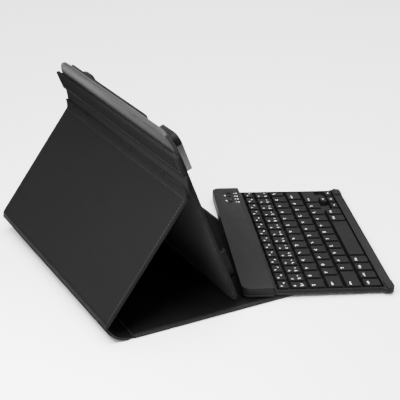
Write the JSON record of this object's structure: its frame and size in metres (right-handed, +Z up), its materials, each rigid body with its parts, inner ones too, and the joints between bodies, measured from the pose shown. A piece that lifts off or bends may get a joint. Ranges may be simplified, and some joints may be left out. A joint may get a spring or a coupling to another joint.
{
  "type": "tablet keyboard case",
  "caption": "Folding leather-look tablet case: a soft spine and leg prop a tilted back plate with sprung corner jaws over a cover that carries a detachable wireless keyboard.",
  "frame": {"origin": "centre of the open case's footprint, on the surface that the front cover lies on", "axes": "+X from the spine towards the typist, along the flat front cover; +Y along the creases, from the end nearest the viewer to the far end; +Z up"},
  "size_m": [0.3794, 0.3144, 0.1867],
  "materials": {
    "leather": "fine pebble grain, satin sheen, stitched and folded hems",
    "lining": "short brushed microfibre, matt",
    "board": "pressed fibre board, raw",
    "magnet": "nickel plated",
    "clip": "moulded, light spark texture",
    "steel": "bright pressed steel",
    "shell": "soft-touch moulded, fine texture",
    "keycap": "moulded, slightly polished crowns",
    "key_mark": "printed marks",
    "thread": "waxed polyester thread",
    "rubber": "moulded, matt",
    "cell": "foil pouch",
    "circuit": "solder mask",
    "lens": "clear light pipe"
  },
  "bodies": {
    "front_cover": {"cover_skin": "leather", "cover_board": "board", "cover_lining": "lining", "cover_magnet_near": "magnet", "cover_magnet_far": "magnet"},
    "spine": {"spine_skin": "leather", "spine_stiffener": "board", "spine_lining": "lining"},
    "leg": {"leg_skin": "leather", "leg_board": "board", "leg_lining": "lining"},
    "holder": {"plate_skin": "leather", "plate_board": "board", "plate_lining": "lining", "strip_skin": "leather", "strip_board": "board", "strip_tongue": "board", "top_rail": "clip", "jaw_track": "clip", "near_jaw_spring": "steel", "far_jaw_spring": "steel"},
    "near_jaw": {"near_jaw": "clip", "near_hook_steel": "steel"},
    "far_jaw": {"far_jaw": "clip"},
    "keyboard": {"keyboard_bottom": "shell", "keyboard_frame": "shell", "battery_cell": "cell", "circuit_board": "circuit", "dome_sheet": "rubber", "led_light_pipe": "lens", "charge_socket": "steel", "foot_near_rear": "rubber", "foot_far_rear": "rubber", "foot_near_front": "rubber", "foot_far_front": "rubber"},
    "power_switch": {"power_switch": "clip"},
    "connect_button": {"connect_button": "clip"},
    "function_keys": {"function_keys": "keycap"},
    "number_keys": {"number_keys": "keycap"},
    "upper_keys": {"upper_keys": "keycap"},
    "home_keys": {"home_keys": "keycap"},
    "enter_key": {"enter_key": "keycap"},
    "left_shift_key": {"left_shift_key": "keycap"},
    "lower_keys": {"lower_keys": "keycap"},
    "right_shift_key": {"right_shift_key": "keycap"},
    "left_modifier_keys": {"left_modifier_keys": "keycap"},
    "space_bar": {"space_bar": "keycap"},
    "right_modifier_keys": {"right_modifier_keys": "keycap"},
    "arrow_left_key": {"arrow_left_key": "keycap"},
    "arrow_up_key": {"arrow_up_key": "keycap"},
    "arrow_down_key": {"arrow_down_key": "keycap"},
    "arrow_right_key": {"arrow_right_key": "keycap"}
  },
  "joints": [
    {"name": "leg_fold", "type": "hinge", "parent": "spine", "child": "leg", "pos_m": [-0.19089, 0.02173, 0.0173], "axis": [0, -1, 0], "range_deg": [0, 112]},
    {"name": "spine_fold", "type": "hinge", "parent": "front_cover", "child": "spine", "pos_m": [-0.16469, 0.02173, 0.0015], "axis": [0, -1, 0], "range_deg": [0, 14]},
    {"name": "holder_fold", "type": "hinge", "parent": "leg", "child": "holder", "pos_m": [-0.10949, 0.02173, 0.1287], "axis": [0, 1, 0], "range_deg": [0, 56]},
    {"name": "near_jaw_slide", "type": "slide", "parent": "holder", "child": "near_jaw", "axis": [0, -1, 0], "range_m": [0, 0.02], "stiffness_N_per_m": 150, "springref_m": -0.02},
    {"name": "far_jaw_slide", "type": "slide", "parent": "holder", "child": "far_jaw", "axis": [0, 1, 0], "range_m": [0, 0.02], "stiffness_N_per_m": 150, "springref_m": -0.02},
    {"name": "keyboard_lift", "type": "slide", "parent": "front_cover", "child": "keyboard", "axis": [0, 0, 1], "range_m": [0, 0.06]},
    {"name": "power_switch_slide", "type": "slide", "parent": "keyboard", "child": "power_switch", "axis": [0.3826, 0.9239, -0.0063], "range_m": [0, 0.004]},
    {"name": "connect_button_press", "type": "slide", "parent": "keyboard", "child": "connect_button", "axis": [-0.0166, 0, -0.9999], "range_m": [0, 0.0006], "stiffness_N_per_m": 800, "springref_m": -0.001},
    {"name": "function_keys_press", "type": "slide", "parent": "keyboard", "child": "function_keys", "axis": [-0.0166, 0, -0.9999], "range_m": [0, 0.0009], "stiffness_N_per_m": 600, "springref_m": -0.0008},
    {"name": "number_keys_press", "type": "slide", "parent": "keyboard", "child": "number_keys", "axis": [-0.0166, 0, -0.9999], "range_m": [0, 0.0009], "stiffness_N_per_m": 600, "springref_m": -0.0008},
    {"name": "upper_keys_press", "type": "slide", "parent": "keyboard", "child": "upper_keys", "axis": [-0.0166, 0, -0.9999], "range_m": [0, 0.0009], "stiffness_N_per_m": 600, "springref_m": -0.0008},
    {"name": "home_keys_press", "type": "slide", "parent": "keyboard", "child": "home_keys", "axis": [-0.0166, 0, -0.9999], "range_m": [0, 0.0009], "stiffness_N_per_m": 600, "springref_m": -0.0008},
    {"name": "enter_key_press", "type": "slide", "parent": "keyboard", "child": "enter_key", "axis": [-0.0166, 0, -0.9999], "range_m": [0, 0.0009], "stiffness_N_per_m": 600, "springref_m": -0.0008},
    {"name": "left_shift_key_press", "type": "slide", "parent": "keyboard", "child": "left_shift_key", "axis": [-0.0166, 0, -0.9999], "range_m": [0, 0.0009], "stiffness_N_per_m": 600, "springref_m": -0.0008},
    {"name": "lower_keys_press", "type": "slide", "parent": "keyboard", "child": "lower_keys", "axis": [-0.0166, 0, -0.9999], "range_m": [0, 0.0009], "stiffness_N_per_m": 600, "springref_m": -0.0008},
    {"name": "right_shift_key_press", "type": "slide", "parent": "keyboard", "child": "right_shift_key", "axis": [-0.0166, 0, -0.9999], "range_m": [0, 0.0009], "stiffness_N_per_m": 600, "springref_m": -0.0008},
    {"name": "left_modifier_keys_press", "type": "slide", "parent": "keyboard", "child": "left_modifier_keys", "axis": [-0.0166, 0, -0.9999], "range_m": [0, 0.0009], "stiffness_N_per_m": 600, "springref_m": -0.0008},
    {"name": "space_bar_press", "type": "slide", "parent": "keyboard", "child": "space_bar", "axis": [-0.0166, 0, -0.9999], "range_m": [0, 0.0009], "stiffness_N_per_m": 600, "springref_m": -0.0008},
    {"name": "right_modifier_keys_press", "type": "slide", "parent": "keyboard", "child": "right_modifier_keys", "axis": [-0.0166, 0, -0.9999], "range_m": [0, 0.0009], "stiffness_N_per_m": 600, "springref_m": -0.0008},
    {"name": "arrow_left_key_press", "type": "slide", "parent": "keyboard", "child": "arrow_left_key", "axis": [-0.0166, 0, -0.9999], "range_m": [0, 0.0009], "stiffness_N_per_m": 600, "springref_m": -0.0008},
    {"name": "arrow_up_key_press", "type": "slide", "parent": "keyboard", "child": "arrow_up_key", "axis": [-0.0166, 0, -0.9999], "range_m": [0, 0.0009], "stiffness_N_per_m": 600, "springref_m": -0.0008},
    {"name": "arrow_down_key_press", "type": "slide", "parent": "keyboard", "child": "arrow_down_key", "axis": [-0.0166, 0, -0.9999], "range_m": [0, 0.0009], "stiffness_N_per_m": 600, "springref_m": -0.0008},
    {"name": "arrow_right_key_press", "type": "slide", "parent": "keyboard", "child": "arrow_right_key", "axis": [-0.0166, 0, -0.9999], "range_m": [0, 0.0009], "stiffness_N_per_m": 600, "springref_m": -0.0008}
  ],
  "couplings": [
    {"joint": "spine_fold", "follows": "leg_fold", "ratio": 0.125},
    {"joint": "holder_fold", "follows": "leg_fold", "ratio": 0.5}
  ]
}
